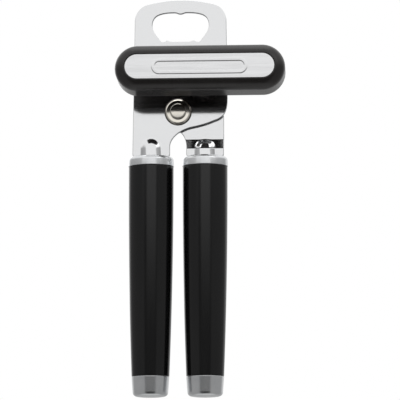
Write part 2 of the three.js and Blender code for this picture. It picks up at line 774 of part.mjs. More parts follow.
// Cutting wheel: a disc with a bevelled edge on a hub that stands on the cutter gear.
const bladeBack = bladeFace + bladeSheet;
add('cutting_wheel', turned([
  [cutterJournal + fit, feedFace],
  [cutterHub, feedFace],
  [cutterHub, bladeFace],
  [bladeRadius, bladeFace],
  [bladeRadius, bladeFace + bladeEdge],
  [bladeRadius - bladeBevel, bladeBack],
  [cutterJournal + fit, bladeBack],
  [cutterJournal + fit, feedFace],
], cutter, 36), wheelSteel);

const washerFace = bladeBack + slip;
add('cutter_washer', ring(cutterJournal + fit, cutterHub, washerFace, washerFace + cutterWasherSheet, cutter),
  nickel);

// Cutter stud: riveted flush into the rear sheet, with a flange and a journal, bored for its screw.
const studEnd = washerFace + cutterWasherSheet;
const stud = pin(cutterJournal, rearFace, studEnd, cutter)
  .add(pin(cutterHub, rearBack + slip, gearFace - slip, cutter))
  .subtract(pin(cutterScrewShank + fit, gearFace, studEnd + 1, cutter, 24));
add('cutter_stud', stud, wheelSteel);

const cutterScrewSeat = studEnd + slip;
const cutterScrew = turned([
  [0, gearFace + slip],
  [cutterScrewShank, gearFace + slip],
  [cutterScrewShank, cutterScrewSeat],
  [cutterHub, cutterScrewSeat],
  [cutterHub, cutterScrewSeat + screwHead * 0.6],
  [cutterHub * 0.85, cutterScrewSeat + screwHead],
  [0, cutterScrewSeat + screwHead],
], cutter).subtract(block(cutter.x - cutterHub, cutter.x + cutterHub,
  cutterScrewSeat + screwHead - slotDeep, cutterScrewSeat + screwHead + 1,
  cutter.z - screwSlot, cutter.z + screwSlot));
add('cutter_screw', cutterScrew, nickel);

export default group;
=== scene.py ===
"""A manual can opener: fine pieces, finishes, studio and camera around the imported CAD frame.

Lengths are in millimetres until a mesh is made. X to the right, Y away from the viewer, Z up.
"""

import json
import math

import bmesh
import bpy
import numpy as np
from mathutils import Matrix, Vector
from mathutils.geometry import delaunay_2d_cdt
from mathutils.kdtree import KDTree


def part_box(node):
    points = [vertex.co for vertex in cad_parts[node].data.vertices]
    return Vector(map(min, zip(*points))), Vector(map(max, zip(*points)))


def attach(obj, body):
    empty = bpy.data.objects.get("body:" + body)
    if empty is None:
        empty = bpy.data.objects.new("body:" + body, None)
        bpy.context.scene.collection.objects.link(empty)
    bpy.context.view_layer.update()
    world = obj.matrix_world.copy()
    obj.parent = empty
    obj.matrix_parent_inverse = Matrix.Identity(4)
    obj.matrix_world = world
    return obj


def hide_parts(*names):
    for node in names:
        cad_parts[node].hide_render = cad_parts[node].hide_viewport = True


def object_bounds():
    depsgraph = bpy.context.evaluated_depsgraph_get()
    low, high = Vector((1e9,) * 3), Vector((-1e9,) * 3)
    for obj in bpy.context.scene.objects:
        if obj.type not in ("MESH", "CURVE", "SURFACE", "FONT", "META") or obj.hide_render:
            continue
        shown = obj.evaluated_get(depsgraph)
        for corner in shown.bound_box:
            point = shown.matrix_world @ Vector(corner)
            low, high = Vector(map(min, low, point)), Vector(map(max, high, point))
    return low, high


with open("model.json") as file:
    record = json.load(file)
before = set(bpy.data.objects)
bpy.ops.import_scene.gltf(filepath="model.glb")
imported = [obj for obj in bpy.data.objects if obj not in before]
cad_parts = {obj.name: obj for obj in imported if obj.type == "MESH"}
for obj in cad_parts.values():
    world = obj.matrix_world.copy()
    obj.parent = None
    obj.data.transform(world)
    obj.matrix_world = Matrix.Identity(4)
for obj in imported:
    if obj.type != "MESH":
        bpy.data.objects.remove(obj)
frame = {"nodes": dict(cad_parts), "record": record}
CAD_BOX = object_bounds()
MM = 0.001


# ---------------------------------------------------------------- places, from the frame


class Place:
    """A CAD node's box in millimetres: low and high corners, and its middle."""

    def __init__(self, node):
        low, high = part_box(node)
        self.x0, self.y0, self.z0 = low / MM
        self.x1, self.y1, self.z1 = high / MM
        self.x, self.y, self.z = (low + high) / (2 * MM)


BODY = {
    node: body
    for body, nodes in frame["record"]["behaviour"]["bodies"].items()
    for node in nodes
}
SLOT = {part["node"]: part["material_slot"] for part in frame["record"]["subparts"]}

pivot = Place("pivot_front_washer")
drive = Place("feed_wheel")
cutter = Place("cutting_wheel")
collar = Place("left_collar")
grip = Place("left_grip")
cap = Place("left_end_cap")
knob = Place("knob_shell")
inlay = Place("knob_inlay")
front_sheet = Place("front_plate")
rear_sheet = Place("rear_plate")
HANDLE_X = {"left": grip.x, "right": Place("right_grip").x}

# ---------------------------------------------------------------- sizes that the boxes don't give

FIT = 0.2  # gap between a pin and its bore, and between faces that meet
SHEET = 2.0  # thickness of both arms
SHOULDER_RADIUS = 9.5  # head
CROWN_RADIUS = 70
HEAD_HALF = 24.4
WINDOW_HALF = 15.1
WINDOW_HEIGHT = 15.9
WINDOW_FOOT = 10.4
CAP_TOOTH = 0.75
ARM_WIDTH = 19.8
ARM_CORNER = 1.6
TANG_WIDTH = 14.5
TANG_LENGTH = 62
FORK_DROP = 18.5  # start of the curve between the arms, below the pivot
LOBE_RISE = 7.5  # start of the front sheet's curved edge, above the pivot
PIVOT_DISC = 10.5
CUTTER_EAR = 9.5
HEEL_DROP = 2.4
RIB_HALF = 5.9
RIB_HEIGHT = 1.5
SHEET_EDGE = 0.28  # rounding of the arms' edges
RIB_FLANK = 4.2
RIB_ROUND = 0.34
RIB_SWELL = 11  # length over which a rib rises to its full height
RIB_START = 0.56  # its height at the upper end, as a share
RIB_TOP = pivot.z - 13.4
RIB_FOOT = collar.z1 - 8
BEND_TOP = pivot.z - 14.1
BEND_HEIGHT = 5.9
BEND_ROUND = 0.1
OVAL = 0.84  # depth of a handle over its width
BEZEL = 5.5
KNOB_WALL = 2.3
HUB_RADIUS = 8.4
JOURNAL = 3.4
SQUARE_HALF = 2.5
THREAD_RADIUS = 2.3
BUSH_WALL = 1.2
RIVET_SHANK = 3.0
RIVET_HEAD_HEIGHT = 1.1
COLLAR_WALL = 1.3
PLUG_RADIUS = 6.4  # end cap's plug inside the grip
CAP_FOOT_HALF = 9.25
COVER = 1.8  # thickness of the knob's back cover
COVER_INSET = 0.5
CUTTER_JOURNAL = 3.0
CUTTER_HUB = 5.4
GEAR_TEETH = 14
FEED_TEETH = 30
BACKLASH = 0.35
PRESSURE_ANGLE = math.radians(20)

arm_foot = collar.z1 + FIT
tang_foot = arm_foot - TANG_LENGTH
sheet_step = rear_sheet.y1 - front_sheet.y1  # how far behind the front sheet the rear one lies
front_mid = front_sheet.y1 - SHEET / 2


# ---------------------------------------------------------------- outlines


def curve(*controls, steps=10):
    """Points of a Bezier curve through its first and last control point."""
    points = []
    for i in range(steps + 1):
        left = [Vector(control) for control in controls]
        while len(left) > 1:
            left = [a.lerp(b, i / steps) for a, b in zip(left, left[1:])]
        points.append(tuple(left[0]))
    return points


def arc(x, z, radius, start, end, steps=16):
    """Points of an arc; its angles are in radians from +X towards +Z."""
    angles = [start + (end - start) * i / steps for i in range(steps + 1)]
    return [(x + radius * math.cos(a), z + radius * math.sin(a)) for a in angles]


def circle(axis, radius, steps=64):
    return arc(axis.x, axis.z, radius, 0, 2 * math.pi, steps)[:-1]


def square(axis, half):
    corners = [(-half, -half), (half, -half), (half, half), (-half, half)]
    return [(axis.x + x, axis.z + z) for x, z in corners]


def split(loop, longest):
    """The closed outline without repeated points, its edges cut to at most the given length."""
    kept = [Vector(p) for i, p in enumerate(loop) if (Vector(p) - Vector(loop[i - 1])).length > 1e-4]
    points = []
    for here, after in zip(kept, kept[1:] + kept[:1]):
        pieces = max(1, math.ceil((after - here).length / longest))
        points += [here.lerp(after, i / pieces) for i in range(pieces)]
    return points


def stadium(axis, half_length, half_width, steps=24):
    """A straight-sided outline with round ends, along X."""
    reach = half_length - half_width
    right = arc(axis.x + reach, axis.z, half_width, -math.pi / 2, math.pi / 2, steps)
    left = arc(axis.x - reach, axis.z, half_width, math.pi / 2, 3 * math.pi / 2, steps)
    return right + left


# ---------------------------------------------------------------- meshes


def new_object(name, vertices, faces):
    """An object from points in millimetres, its faces turned outward."""
    mesh = bpy.data.meshes.new(name)
    mesh.from_pydata([Vector(v) * MM for v in vertices], [], faces)
    shape = bmesh.new()
    shape.from_mesh(mesh)
    bmesh.ops.recalc_face_normals(shape, faces=shape.faces)
    shape.to_mesh(mesh)
    shape.free()
    thing = bpy.data.objects.new(name, mesh)
    bpy.context.scene.collection.objects.link(thing)
    return thing


def inside(points, loops):
    """Whether each point lies inside the outer outline and outside its holes."""
    points = np.array(points)
    odd = np.zeros(len(points), bool)
    for loop in loops:
        ends = np.array([tuple(p) for p in loop])
        for (x0, z0), (x1, z1) in zip(ends, np.roll(ends, -1, axis=0)):
            spans = (z0 > points[:, 1]) != (z1 > points[:, 1])
            with np.errstate(divide="ignore", invalid="ignore"):
                crossing = x0 + (points[:, 1] - z0) * (x1 - x0) / (z1 - z0)
            odd ^= spans & (points[:, 0] < crossing)
    return odd


def point_tree(points):
    tree = KDTree(len(points))
    for i, p in enumerate(points):
        tree.insert((p.x, p.y, 0), i)
    tree.balance()
    return tree


def inner_points(loops, areas, spacing):
    """Grid points in the pressed areas (x0, x1, z0, z1), inside the outlines and clear of their edges."""
    tree = point_tree([p for loop in loops for p in loop])
    points = []
    for x0, x1, z0, z1 in areas:
        columns = np.arange(x0, x1, spacing)
        rows = np.arange(z0, z1, spacing)
        points += [(x, z) for x in columns for z in rows]
    if not points:
        return []
    held = inside(points, loops)
    return [
        Vector(p)
        for p, good in zip(points, held)
        if good and tree.find((p[0], p[1], 0))[2] > spacing
    ]


def edge_directions(loop, loops):
    """For each point of an outline, the direction that leads out of the sheet."""
    nudge = 0.05
    along = [(loop[(i + 1) % len(loop)] - loop[i - 1]).normalized() for i in range(len(loop))]
    across = [Vector((side.y, -side.x)) for side in along]
    held = inside([p - out * nudge for p, out in zip(loop, across)], loops)
    return [out if solid else -out for out, solid in zip(across, held)]


def rounding_points(loops, edge):
    """Points of an edge's rounding, within the outlines: (place, share of the way in, outward)."""
    tree = point_tree([p for loop in loops for p in split(loop, edge / 2)])
    found = []
    for loop in loops:
        outward = edge_directions(loop, loops)
        for share in (0.15, 0.5, 1.0):
            places = [p - out * edge * share for p, out in zip(loop, outward)]
            found += [
                (place, share, out)
                for place, out, held in zip(places, outward, inside(places, loops))
                if held and tree.find((place.x, place.y, 0))[2] > 0.9 * edge * share
            ]
    return found


def surface_normal(height, x, z, side):
    """Normal of the face Y = height(x, z) on its front (-1) or back (1) side."""
    step = 0.02
    slope_x = (height(x + step, z) - height(x - step, z)) / (2 * step)
    slope_z = (height(x, z + step) - height(x, z - step)) / (2 * step)
    return Vector((-side * slope_x, side, -side * slope_z)).normalized()


def sheet_face(flat, height, side, shares, outward, edge):
    """Vertices and normals of one face of a sheet whose edge is rounded."""
    vertices = []
    normals = []
    for p, share, out in zip(flat, shares, outward):
        lean = 1 - share
        drop = edge * (1 - math.sqrt(1 - lean * lean))
        vertices.append((p.x, height(p.x, p.y) - side * drop, p.y))
        face = surface_normal(height, p.x, p.y, side) * math.sqrt(1 - lean * lean)
        normals.append((face + Vector((out.x, 0, out.y)) * lean).normalized())
    return vertices, normals


def outline_points(loops):
    """The outlines' points in one list, the edges that join them, and their directions outward."""
    points = []
    edges = []
    outward = []
    for loop in loops:
        first = len(points)
        points += loop
        outward += edge_directions(loop, loops)
        edges += [(first + i, first + (i + 1) % len(loop)) for i in range(len(loop))]
    return points, edges, outward


def closed_faces(triangles, count):
    """Faces of a solid: the triangles, their copies behind, and walls round their open sides."""
    sides = dict.fromkeys(pair for t in triangles for pair in zip(t, t[1:] + t[:1]))
    faces = [tuple(t) for t in triangles]
    faces += [tuple(i + count for i in reversed(t)) for t in triangles]
    return faces + [(b, a, a + count, b + count) for a, b in sides if (b, a) not in sides]


def plate(name, loops, front, back, areas=(), spacing=0.45, longest=0.6, edge=0.0):
    """Flat or pressed sheet: outlines in X and Z, with faces at Y = front(x, z) and back(x, z).

    With an edge radius its edges are rounded, and its shading follows the true surface.
    """
    loops = [split(loop, longest) for loop in loops]
    points, edges, outward = outline_points(loops)
    shares = [0.0 if edge else 1.0] * len(points)
    for place, share, out in rounding_points(loops, edge) if edge else ():
        points.append(place)
        shares.append(share)
        outward.append(out)
    inner = inner_points(loops, areas, spacing)
    points += inner
    shares += [1.0] * len(inner)
    outward += [Vector((0, 0))] * len(inner)
    flat, _, triangles, origin, *_ = delaunay_2d_cdt(points, edges, [], 1, 1e-5)
    middles = [sum((flat[i] for i in t), Vector((0, 0))) / 3 for t in triangles]
    triangles = [t for t, solid in zip(triangles, inside(middles, loops)) if solid]
    shares = [shares[sources[0]] for sources in origin]
    outward = [outward[sources[0]] for sources in origin]
    vertices, normals = sheet_face(flat, front, -1, shares, outward, edge)
    rear_vertices, rear_normals = sheet_face(flat, back, 1, shares, outward, edge)
    thing = new_object(name, vertices + rear_vertices, closed_faces(triangles, len(flat)))
    if edge:
        thing.data.shade_smooth()
        thing.data.normals_split_custom_set_from_vertices(normals + rear_normals)
    return thing


def level(y):
    """A flat face at one Y."""
    return lambda x, z: y


def disc(name, loops, y0, y1, longest=50):
    """A flat plate of even thickness from y0 to y1."""
    return plate(name, loops, level(y0), level(y1), longest=longest)


def rounded(profile, steps=4):
    """A profile whose corners with a third number are rounded by about that radius."""
    points = []
    for i, corner in enumerate(profile):
        here = Vector(corner[:2])
        if len(corner) == 2:
            points.append(tuple(here))
            continue
        before = Vector(profile[i - 1][:2]) - here
        after = Vector(profile[(i + 1) % len(profile)][:2]) - here
        start = here + before.normalized() * corner[2]
        end = here + after.normalized() * corner[2]
        points += curve(start, here, end, steps=steps)
    return points


def turned(name, profile, axis, upright=False, oval=1.0, stretch=0.0, segments=96):
    """A turned piece from (radius, along[, rounding]) points, along Y, or along Z when upright.

    A profile that starts and ends on the axis is solid, and any other closes on itself. An oval
    flattens the piece in Y, and a stretch pulls its two halves apart along X.
    """
    profile = rounded(profile)
    closed = profile[0][0] > 0
    vertices = []
    rings = []
    for radius, along in profile:
        row = []
        for k in range(segments if radius > 0 else 1):
            angle = (k + 0.5) * 2 * math.pi / segments
            x = radius * math.cos(angle)
            across = radius * math.sin(angle)
            if radius > 0:
                x += math.copysign(stretch, x)
            row.append(len(vertices))
            if upright:
                vertices.append((axis.x + x, axis.y + across * oval, along))
            else:
                vertices.append((axis.x + x, along, axis.z + across))
        rings.append(row)
    faces = []
    for low, high in zip(rings, rings[1:] + (rings[:1] if closed else [])):
        for k in range(segments):
            after = (k + 1) % segments
            if len(low) == 1:
                faces.append((low[0], high[k], high[after]))
            elif len(high) == 1:
                faces.append((low[k], low[after], high[0]))
            else:
                faces.append((low[k], low[after], high[after], high[k]))
    return new_object(name, vertices, faces)


def ring(place, bore, edge=0.15):
    """Profile of a plain ring that fills a place's box round its bore, with rounded corners."""
    outer = place.x1 - place.x
    return [(bore, place.y0, edge), (outer, place.y0, edge), (outer, place.y1, edge), (bore, place.y1, edge)]


def carve(target, tool, operation="DIFFERENCE"):
    """Cuts the tool from the target, or joins it on, and removes the tool."""
    step = target.modifiers.new("carve", "BOOLEAN")
    step.operation = operation
    step.object = tool
    step.solver = "EXACT"
    depsgraph = bpy.context.evaluated_depsgraph_get()
    carved = bpy.data.meshes.new_from_object(target.evaluated_get(depsgraph))
    target.modifiers.clear()
    target.data = carved
    bpy.data.objects.remove(tool)
    return target


def bevel(thing, width, angle=50, segments=3):
    """Rounds the edges that are sharper than the angle."""
    step = thing.modifiers.new("bevel", "BEVEL")
    step.width = width * MM
    step.segments = segments
    step.limit_method = "ANGLE"
    step.angle_limit = math.radians(angle)
    step.harden_normals = True
    step.use_clamp_overlap = False
    return thing


def smooth(thing, angle=35):
    """Smooth shading with crisp edges."""
    thing.data.shade_smooth()
    thing.data.set_sharp_from_angle(angle=math.radians(angle))
    return thing


def keep_flats(thing):
    """Keeps flat faces evenly shaded beside small roundings."""
    step = thing.modifiers.new("flats", "WEIGHTED_NORMAL")
    step.keep_sharp = True
    return thing


def stand_for(thing, node):
    """The piece rides on the node's body, replaces it and takes its finish."""
    thing.name = f"fine_{node}"
    if not thing.data.has_custom_normals:
        smooth(thing)
    thing.data.materials.clear()
    thing.data.materials.append(FINISH[SLOT[node]])
    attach(thing, BODY[node])
    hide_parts(node)
    return thing


def turned_node(node, profile, axis, **shape):
    """A turned piece that stands for a CAD node."""
    return keep_flats(stand_for(turned(node, profile, axis, **shape), node))


# ---------------------------------------------------------------- finishes


class Nodes:
    """A shader node tree, with short ways to add to it."""

    def __init__(self, tree):
        self.tree = tree

    def put(self, value, socket):
        """A constant or a link at a socket."""
        if isinstance(value, bpy.types.NodeSocket):
            self.tree.links.new(value, socket)
        else:
            socket.default_value = value

    def add(self, kind, inputs=None, **settings):
        """A node with its settings, and with a constant or a link at each input that is named."""
        node = self.tree.nodes.new("ShaderNode" + kind)
        for name, setting in settings.items():
            setattr(node, name, setting)
        for name, value in (inputs or {}).items():
            self.put(value, node.inputs[name])
        return node

    def maths(self, operation, *values):
        return self.add("Math", dict(enumerate(values)), operation=operation).outputs[0]

    def climb(self, value, start, end, low=0.0, high=1.0, course="LINEAR"):
        """From low to high as the value goes from start to end."""
        inputs = {"Value": value, "From Min": start, "From Max": end, "To Min": low, "To Max": high}
        return self.add("MapRange", inputs, interpolation_type=course).outputs["Result"]


class Finish(Nodes):
    """One procedural material, built on a Principled shader."""

    def __init__(self, name, metallic, tint):
        self.material = bpy.data.materials.new(name)
        self.material.use_nodes = True
        self.material.diffuse_color = (*tint, 1)
        super().__init__(self.material.node_tree)
        self.shader = self.tree.nodes["Principled BSDF"].inputs
        self.put(metallic, self.shader["Metallic"])
        self.place = self.add("TexCoord").outputs["Object"]

    def noise(self, cells, detail=2.0, seed=0.0):
        """Noise with so many cells per millimetre along X, Y and Z."""
        scale = [c / MM for c in cells]
        spread = self.add("Mapping", {"Vector": self.place, "Scale": scale, "Location": [seed] * 3})
        inputs = {"Vector": spread.outputs["Vector"], "Scale": 1.0, "Detail": detail}
        return self.add("TexNoise", inputs).outputs["Fac"]

    def specks(self, cells_per_mm, low, high):
        """Round pits or grains: 0 inside, 1 outside."""
        spread = self.add("VectorMath", {0: self.place, "Scale": cells_per_mm / MM}, operation="SCALE")
        texture = self.add("TexVoronoi", {"Vector": spread.outputs["Vector"], "Scale": 1.0})
        return self.climb(texture.outputs["Distance"], low, high)

    def on_faces(self, start=0.3, end=0.75):
        """1 on the broad faces in front and behind, and 0 on cut edges and steep rims, where the finishes
        darken the colour as painted shade.
        """
        normal = self.add("TexCoord").outputs["Normal"]
        parts = self.add("SeparateXYZ", {"Vector": normal})
        return self.climb(self.maths("ABSOLUTE", parts.outputs["Y"]), start, end)

    def between(self, noise, low, high):
        """Noise stretched over the whole range from low to high."""
        return self.climb(noise, 0.35, 0.65, low, high)

    def colour(self, factor, first, second):
        """Base colour between two colours."""
        mix = self.add("Mix", {0: factor}, data_type="RGBA")
        ends = [socket for socket in mix.inputs if socket.type == "RGBA"]
        for tint, socket in zip((first, second), ends):
            self.put((*tint, 1), socket)
        result = next(socket for socket in mix.outputs if socket.type == "RGBA")
        self.put(result, self.shader["Base Color"])

    def tint(self, noise, first, second):
        """Base colour that wanders between two colours."""
        self.colour(self.between(noise, 0.0, 1.0), first, second)

    def roughness(self, noise, low, high):
        self.put(self.between(noise, low, high), self.shader["Roughness"])

    def bump(self, *layers):
        """Relief from (height, micrometres) layers."""
        below = {}
        for height, depth in layers:
            step = self.add("Bump", {"Distance": depth * MM * MM, "Height": height, **below})
            below = {"Normal": step.outputs["Normal"]}
        self.put(below["Normal"], self.shader["Normal"])


def polished_steel():
    """Mirror-polished stainless sheet with faint polishing lines, and rougher blanked edges whose colour is
    darkened as painted shade.
    """
    steel = Finish("polished_steel", 1.0, (0.78, 0.79, 0.8))
    lines = steel.noise((0.3, 0.3, 9), detail=3)
    clouds = steel.noise((0.07, 0.07, 0.09), seed=3)
    broad = steel.on_faces()
    polish = steel.between(lines, 0.07, 0.12)
    # Painted shade: the cut edges get a dark colour that stands for the shaded, dark-reflecting edge line.
    steel.colour(broad, (0.36, 0.365, 0.375), (0.785, 0.79, 0.797))
    steel.put(steel.climb(broad, 0.0, 1.0, 0.36, polish), steel.shader["Roughness"])
    steel.bump((lines, 0.25), (clouds, 6))
    return steel.material


def brushed_inlay():
    """Stainless sheet brushed along the knob."""
    steel = Finish("brushed_inlay", 1.0, (0.78, 0.79, 0.8))
    lines = steel.noise((0.12, 5, 13), detail=4)
    broad = steel.noise((0.04, 0.5, 0.9), seed=5)
    steel.tint(lines, (0.78, 0.783, 0.79), (0.83, 0.833, 0.84))
    steel.roughness(broad, 0.14, 0.2)
    steel.bump((lines, 0.6))
    return steel.material


def satin_metal():
    """Plated collars and caps with a fine drawn satin grain."""
    metal = Finish("satin_metal", 1.0, (0.74, 0.75, 0.77))
    grain = metal.noise((7, 7, 2.2), detail=3)
    clouds = metal.noise((0.2, 0.2, 0.12), seed=2)
    metal.tint(clouds, (0.75, 0.765, 0.78), (0.805, 0.815, 0.825))
    metal.roughness(grain, 0.19, 0.26)
    metal.bump((grain, 0.9))
    return metal.material


def nickel():
    """Warm nickel plate on turned washers, rivet and screws, with painted shade darkening their steep rims.
    """
    metal = Finish("nickel", 1.0, (0.8, 0.75, 0.66))
    marks = metal.noise((3, 8, 3), detail=3, seed=4)
    broad = metal.on_faces(0.66, 0.8)
    # Painted shade: steep rims are coloured near black to stand for the shadowed groove at the rim.
    metal.colour(broad, (0.11, 0.1, 0.09), (0.84, 0.8, 0.72))
    metal.roughness(marks, 0.08, 0.13)
    metal.bump((marks, 0.3))
    return metal.material


def wheel_steel():
    """Hardened wheels and shafts: ground faces, a thin film of oil and small stains."""
    steel = Finish("wheel_steel", 1.0, (0.56, 0.57, 0.58))
    ground = steel.noise((1.2, 9, 11), detail=4)
    stains = steel.noise((0.35, 0.35, 0.35), detail=4, seed=6)
    steel.tint(stains, (0.34, 0.335, 0.325), (0.52, 0.525, 0.53))
    steel.roughness(ground, 0.22, 0.38)
    steel.bump((ground, 2.0))
    return steel.material


def bronze():
    """Sintered bearing bronze with open pores."""
    metal = Finish("bronze", 1.0, (0.5, 0.35, 0.19))
    pores = metal.specks(5, 0.12, 0.3)
    clouds = metal.noise((0.6, 0.6, 0.6), seed=1)
    metal.tint(clouds, (0.42, 0.29, 0.15), (0.6, 0.43, 0.25))
    metal.roughness(clouds, 0.32, 0.46)
    metal.bump((pores, 12))
    return metal.material


def moulded(name, dark, light, low, high):
    """Black moulded plastic: slight waviness, and a fine etched texture that breaks the gloss."""
    plastic = Finish(name, 0.0, dark)
    etched = plastic.noise((6, 6, 6), detail=3)
    waves = plastic.noise((0.12, 0.12, 0.03), seed=7)
    plastic.tint(waves, dark, light)
    plastic.roughness(etched, low, high)
    plastic.bump((waves, 25), (etched, 1.2))
    plastic.put(1.5, plastic.shader["IOR"])
    return plastic.material


FINISH = {
    "polished_steel": polished_steel(),
    "brushed_inlay": brushed_inlay(),
    "satin_metal": satin_metal(),
    "nickel": nickel(),
    "wheel_steel": wheel_steel(),
    "bronze": bronze(),
    "grip_plastic": moulded(
        "grip_plastic", (0.0020, 0.0020, 0.0022), (0.0032, 0.0032, 0.0034), 0.13, 0.19),
    "knob_plastic": moulded(
        "knob_plastic", (0.0095, 0.0078, 0.0073), (0.0125, 0.0108, 0.0102), 0.24, 0.32),
}


# ---------------------------------------------------------------- arms


def ramp(value, share):
    """Rises from 0 to 1 with a straight middle and rounded ends that each take a share of the way."""
    t = min(1.0, max(0.0, value))
    if t < share:
        return t * t / (2 * share * (1 - share))
    if t > 1 - share:
        return 1 - (1 - t) ** 2 / (2 * share * (1 - share))
    return (t - share / 2) / (1 - share)


def rib(x, z, axis_x):
    """Forward rise of an arm's stiffening rib."""
    dome = RIB_TOP - RIB_HALF
    away = math.hypot(x - axis_x, max(0.0, z - dome))
    side = ramp((RIB_HALF - away) / RIB_FLANK, RIB_ROUND)
    swell = RIB_START + (1 - RIB_START) * min(1.0, max(0.0, RIB_TOP - z) / RIB_SWELL) ** 1.6
    return RIB_HEIGHT * swell * side * ramp((z - RIB_FOOT) / RIB_FLANK, RIB_ROUND)


def tang(axis_x, side):
    """From the arm's edge away from the side, round its shoulders and tang, to the other edge."""
    arm = ARM_WIDTH / 2
    half = TANG_WIDTH / 2
    flat = half / 2
    foot = arm_foot + ARM_CORNER

    def near(reach, z):
        return (axis_x - side * reach, z)

    def far(reach, z):
        return (axis_x + side * reach, z)

    return [
        *curve(near(arm, foot), near(arm, arm_foot), near(arm - ARM_CORNER, arm_foot)),
        near(half, arm_foot),
        *curve(near(half, tang_foot + flat), near(half, tang_foot), near(flat, tang_foot)),
        *curve(far(flat, tang_foot), far(half, tang_foot), far(half, tang_foot + flat)),
        far(half, arm_foot),
        *curve(far(arm - ARM_CORNER, arm_foot), far(arm, arm_foot), far(arm, foot)),
    ]


def window():
    """The bottle-opener window: one small tooth above and two below."""
    foot = -WINDOW_HEIGHT
    tooth = WINDOW_FOOT - 3.6  # middle of a lower tooth
    side = WINDOW_HALF
    right = [
        *curve((0, -CAP_TOOTH), (1.5, -CAP_TOOTH), (1.6, 0), (3.4, 0)),
        *curve((3.4, 0), (side - 7, 0.05), (side - 4.2, -0.9)),
        *curve((side - 4.2, -0.9), (side, -2.2), (side, -7)),
        *curve((side, -7), (side, -10), (WINDOW_FOOT + 1, foot + 1.6)),
        *curve((WINDOW_FOOT + 1, foot + 1.6), (WINDOW_FOOT + 0.3, foot), (WINDOW_FOOT - 0.6, foot)),
        *curve((WINDOW_FOOT - 0.6, foot), (tooth + 1.4, foot), (tooth + 0.5, foot + CAP_TOOTH)),
        *curve((tooth + 0.5, foot + CAP_TOOTH), (tooth - 0.4, foot + CAP_TOOTH), (tooth - 2, foot + 0.1)),
    ]
    return right + [(-x, z) for x, z in reversed(right)]


def front_outline():
    """Left arm, head and the lobe that carries the drive."""
    crown = front_sheet.z1
    centre_x = HEAD_HALF - SHOULDER_RADIUS
    centre_z = crown - CROWN_RADIUS + math.sqrt((CROWN_RADIUS - SHOULDER_RADIUS) ** 2 - centre_x ** 2)
    meet = math.atan2(centre_z - (crown - CROWN_RADIUS), centre_x)
    inner = HANDLE_X["left"] + ARM_WIDTH / 2
    lobe_x = front_sheet.x1
    lobe_z = pivot.z + LOBE_RISE
    fork = (inner, pivot.z - FORK_DROP)
    nose = (lobe_x - 7.3, lobe_z - 12.2)
    waist = (inner + 11.8, pivot.z - 8.1)
    return [
        fork,
        *tang(HANDLE_X["left"], -1),
        *arc(-centre_x, centre_z, SHOULDER_RADIUS, math.pi, math.pi - meet),
        *arc(0, crown - CROWN_RADIUS, CROWN_RADIUS, math.pi - meet, meet, 40),
        *arc(centre_x, centre_z, SHOULDER_RADIUS, meet, 0),
        *curve((lobe_x, lobe_z), (lobe_x, lobe_z - 7.4), (lobe_x - 1.7, lobe_z - 10.5), nose, steps=24),
        *curve(nose, (lobe_x - 10.9, lobe_z - 13.8), (lobe_x - 15.1, lobe_z - 14.9), waist, steps=24),
        *curve(waist, (inner + 6, pivot.z - 9.3), (inner, pivot.z - 13.4), fork, steps=24),
    ]


def rear_outline():
    """Right arm, pivot disc and the ear that carries the cutter."""
    axis_x = HANDLE_X["right"]
    inner = axis_x - ARM_WIDTH / 2
    outer = axis_x + ARM_WIDTH / 2
    heel = math.asin(HEEL_DROP / PIVOT_DISC) / 2
    disc_end = arc(pivot.x, pivot.z, PIVOT_DISC, math.pi * 0.95, math.pi * 1.5 + heel, 24)
    fork = (inner, pivot.z - FORK_DROP - 1)
    return [
        *curve((outer, pivot.z - HEEL_DROP), (outer, pivot.z + 0.3), (outer - 3, pivot.z + 0.3)),
        *curve((outer - 3, pivot.z + 0.3), (pivot.x + 15, pivot.z + 1), (pivot.x + 10, pivot.z + 7)),
        (cutter.x + CUTTER_EAR, cutter.z - 4),
        *arc(cutter.x, cutter.z, CUTTER_EAR, 0, math.pi, 32),
        *curve((cutter.x - CUTTER_EAR, cutter.z), (cutter.x - CUTTER_EAR, cutter.z - 8),
               (pivot.x - PIVOT_DISC, pivot.z + 2)),
        *disc_end,
        *curve(disc_end[-1], (inner - 1.4, pivot.z - 12), (inner, pivot.z - 15), fork, steps=16),
        *tang(axis_x, 1),
    ]


def pressed(name, node, loops, mid, axis_x):
    """An arm: its middle surface lies at Y = mid(x, z), and its rib and bend get a fine grid."""
    margin = 0.4
    low, high = axis_x - ARM_WIDTH, axis_x + ARM_WIDTH
    areas = [
        (axis_x - RIB_HALF - margin, axis_x + RIB_HALF + margin, RIB_FOOT - margin, BEND_TOP - BEND_HEIGHT),
        (low, high, BEND_TOP - BEND_HEIGHT, RIB_TOP + margin),
    ]
    stand_for(plate(
        name,
        loops,
        lambda x, z: mid(x, z) - SHEET / 2,
        lambda x, z: mid(x, z) + SHEET / 2,
        areas,
        edge=SHEET_EDGE,
    ), node)


def make_arms():
    bush = Place("drive_bush")
    bush_hole = JOURNAL + FIT + BUSH_WALL + FIT
    rivet_hole = circle(pivot, RIVET_SHANK + FIT)

    def front_mid_surface(x, z):
        return front_mid - rib(x, z, HANDLE_X["left"])

    def rear_mid_surface(x, z):
        rise = ramp((z - BEND_TOP + BEND_HEIGHT) / BEND_HEIGHT, BEND_ROUND)
        return front_mid + sheet_step * rise - rib(x, z, HANDLE_X["right"])

    loops = [front_outline(), window(), rivet_hole, circle(bush, bush_hole)]
    pressed("front", "front_plate", loops, front_mid_surface, HANDLE_X["left"])
    loops = [rear_outline(), rivet_hole, circle(cutter, CUTTER_JOURNAL + FIT)]
    pressed("rear", "rear_plate", loops, rear_mid_surface, HANDLE_X["right"])


# ---------------------------------------------------------------- pivot


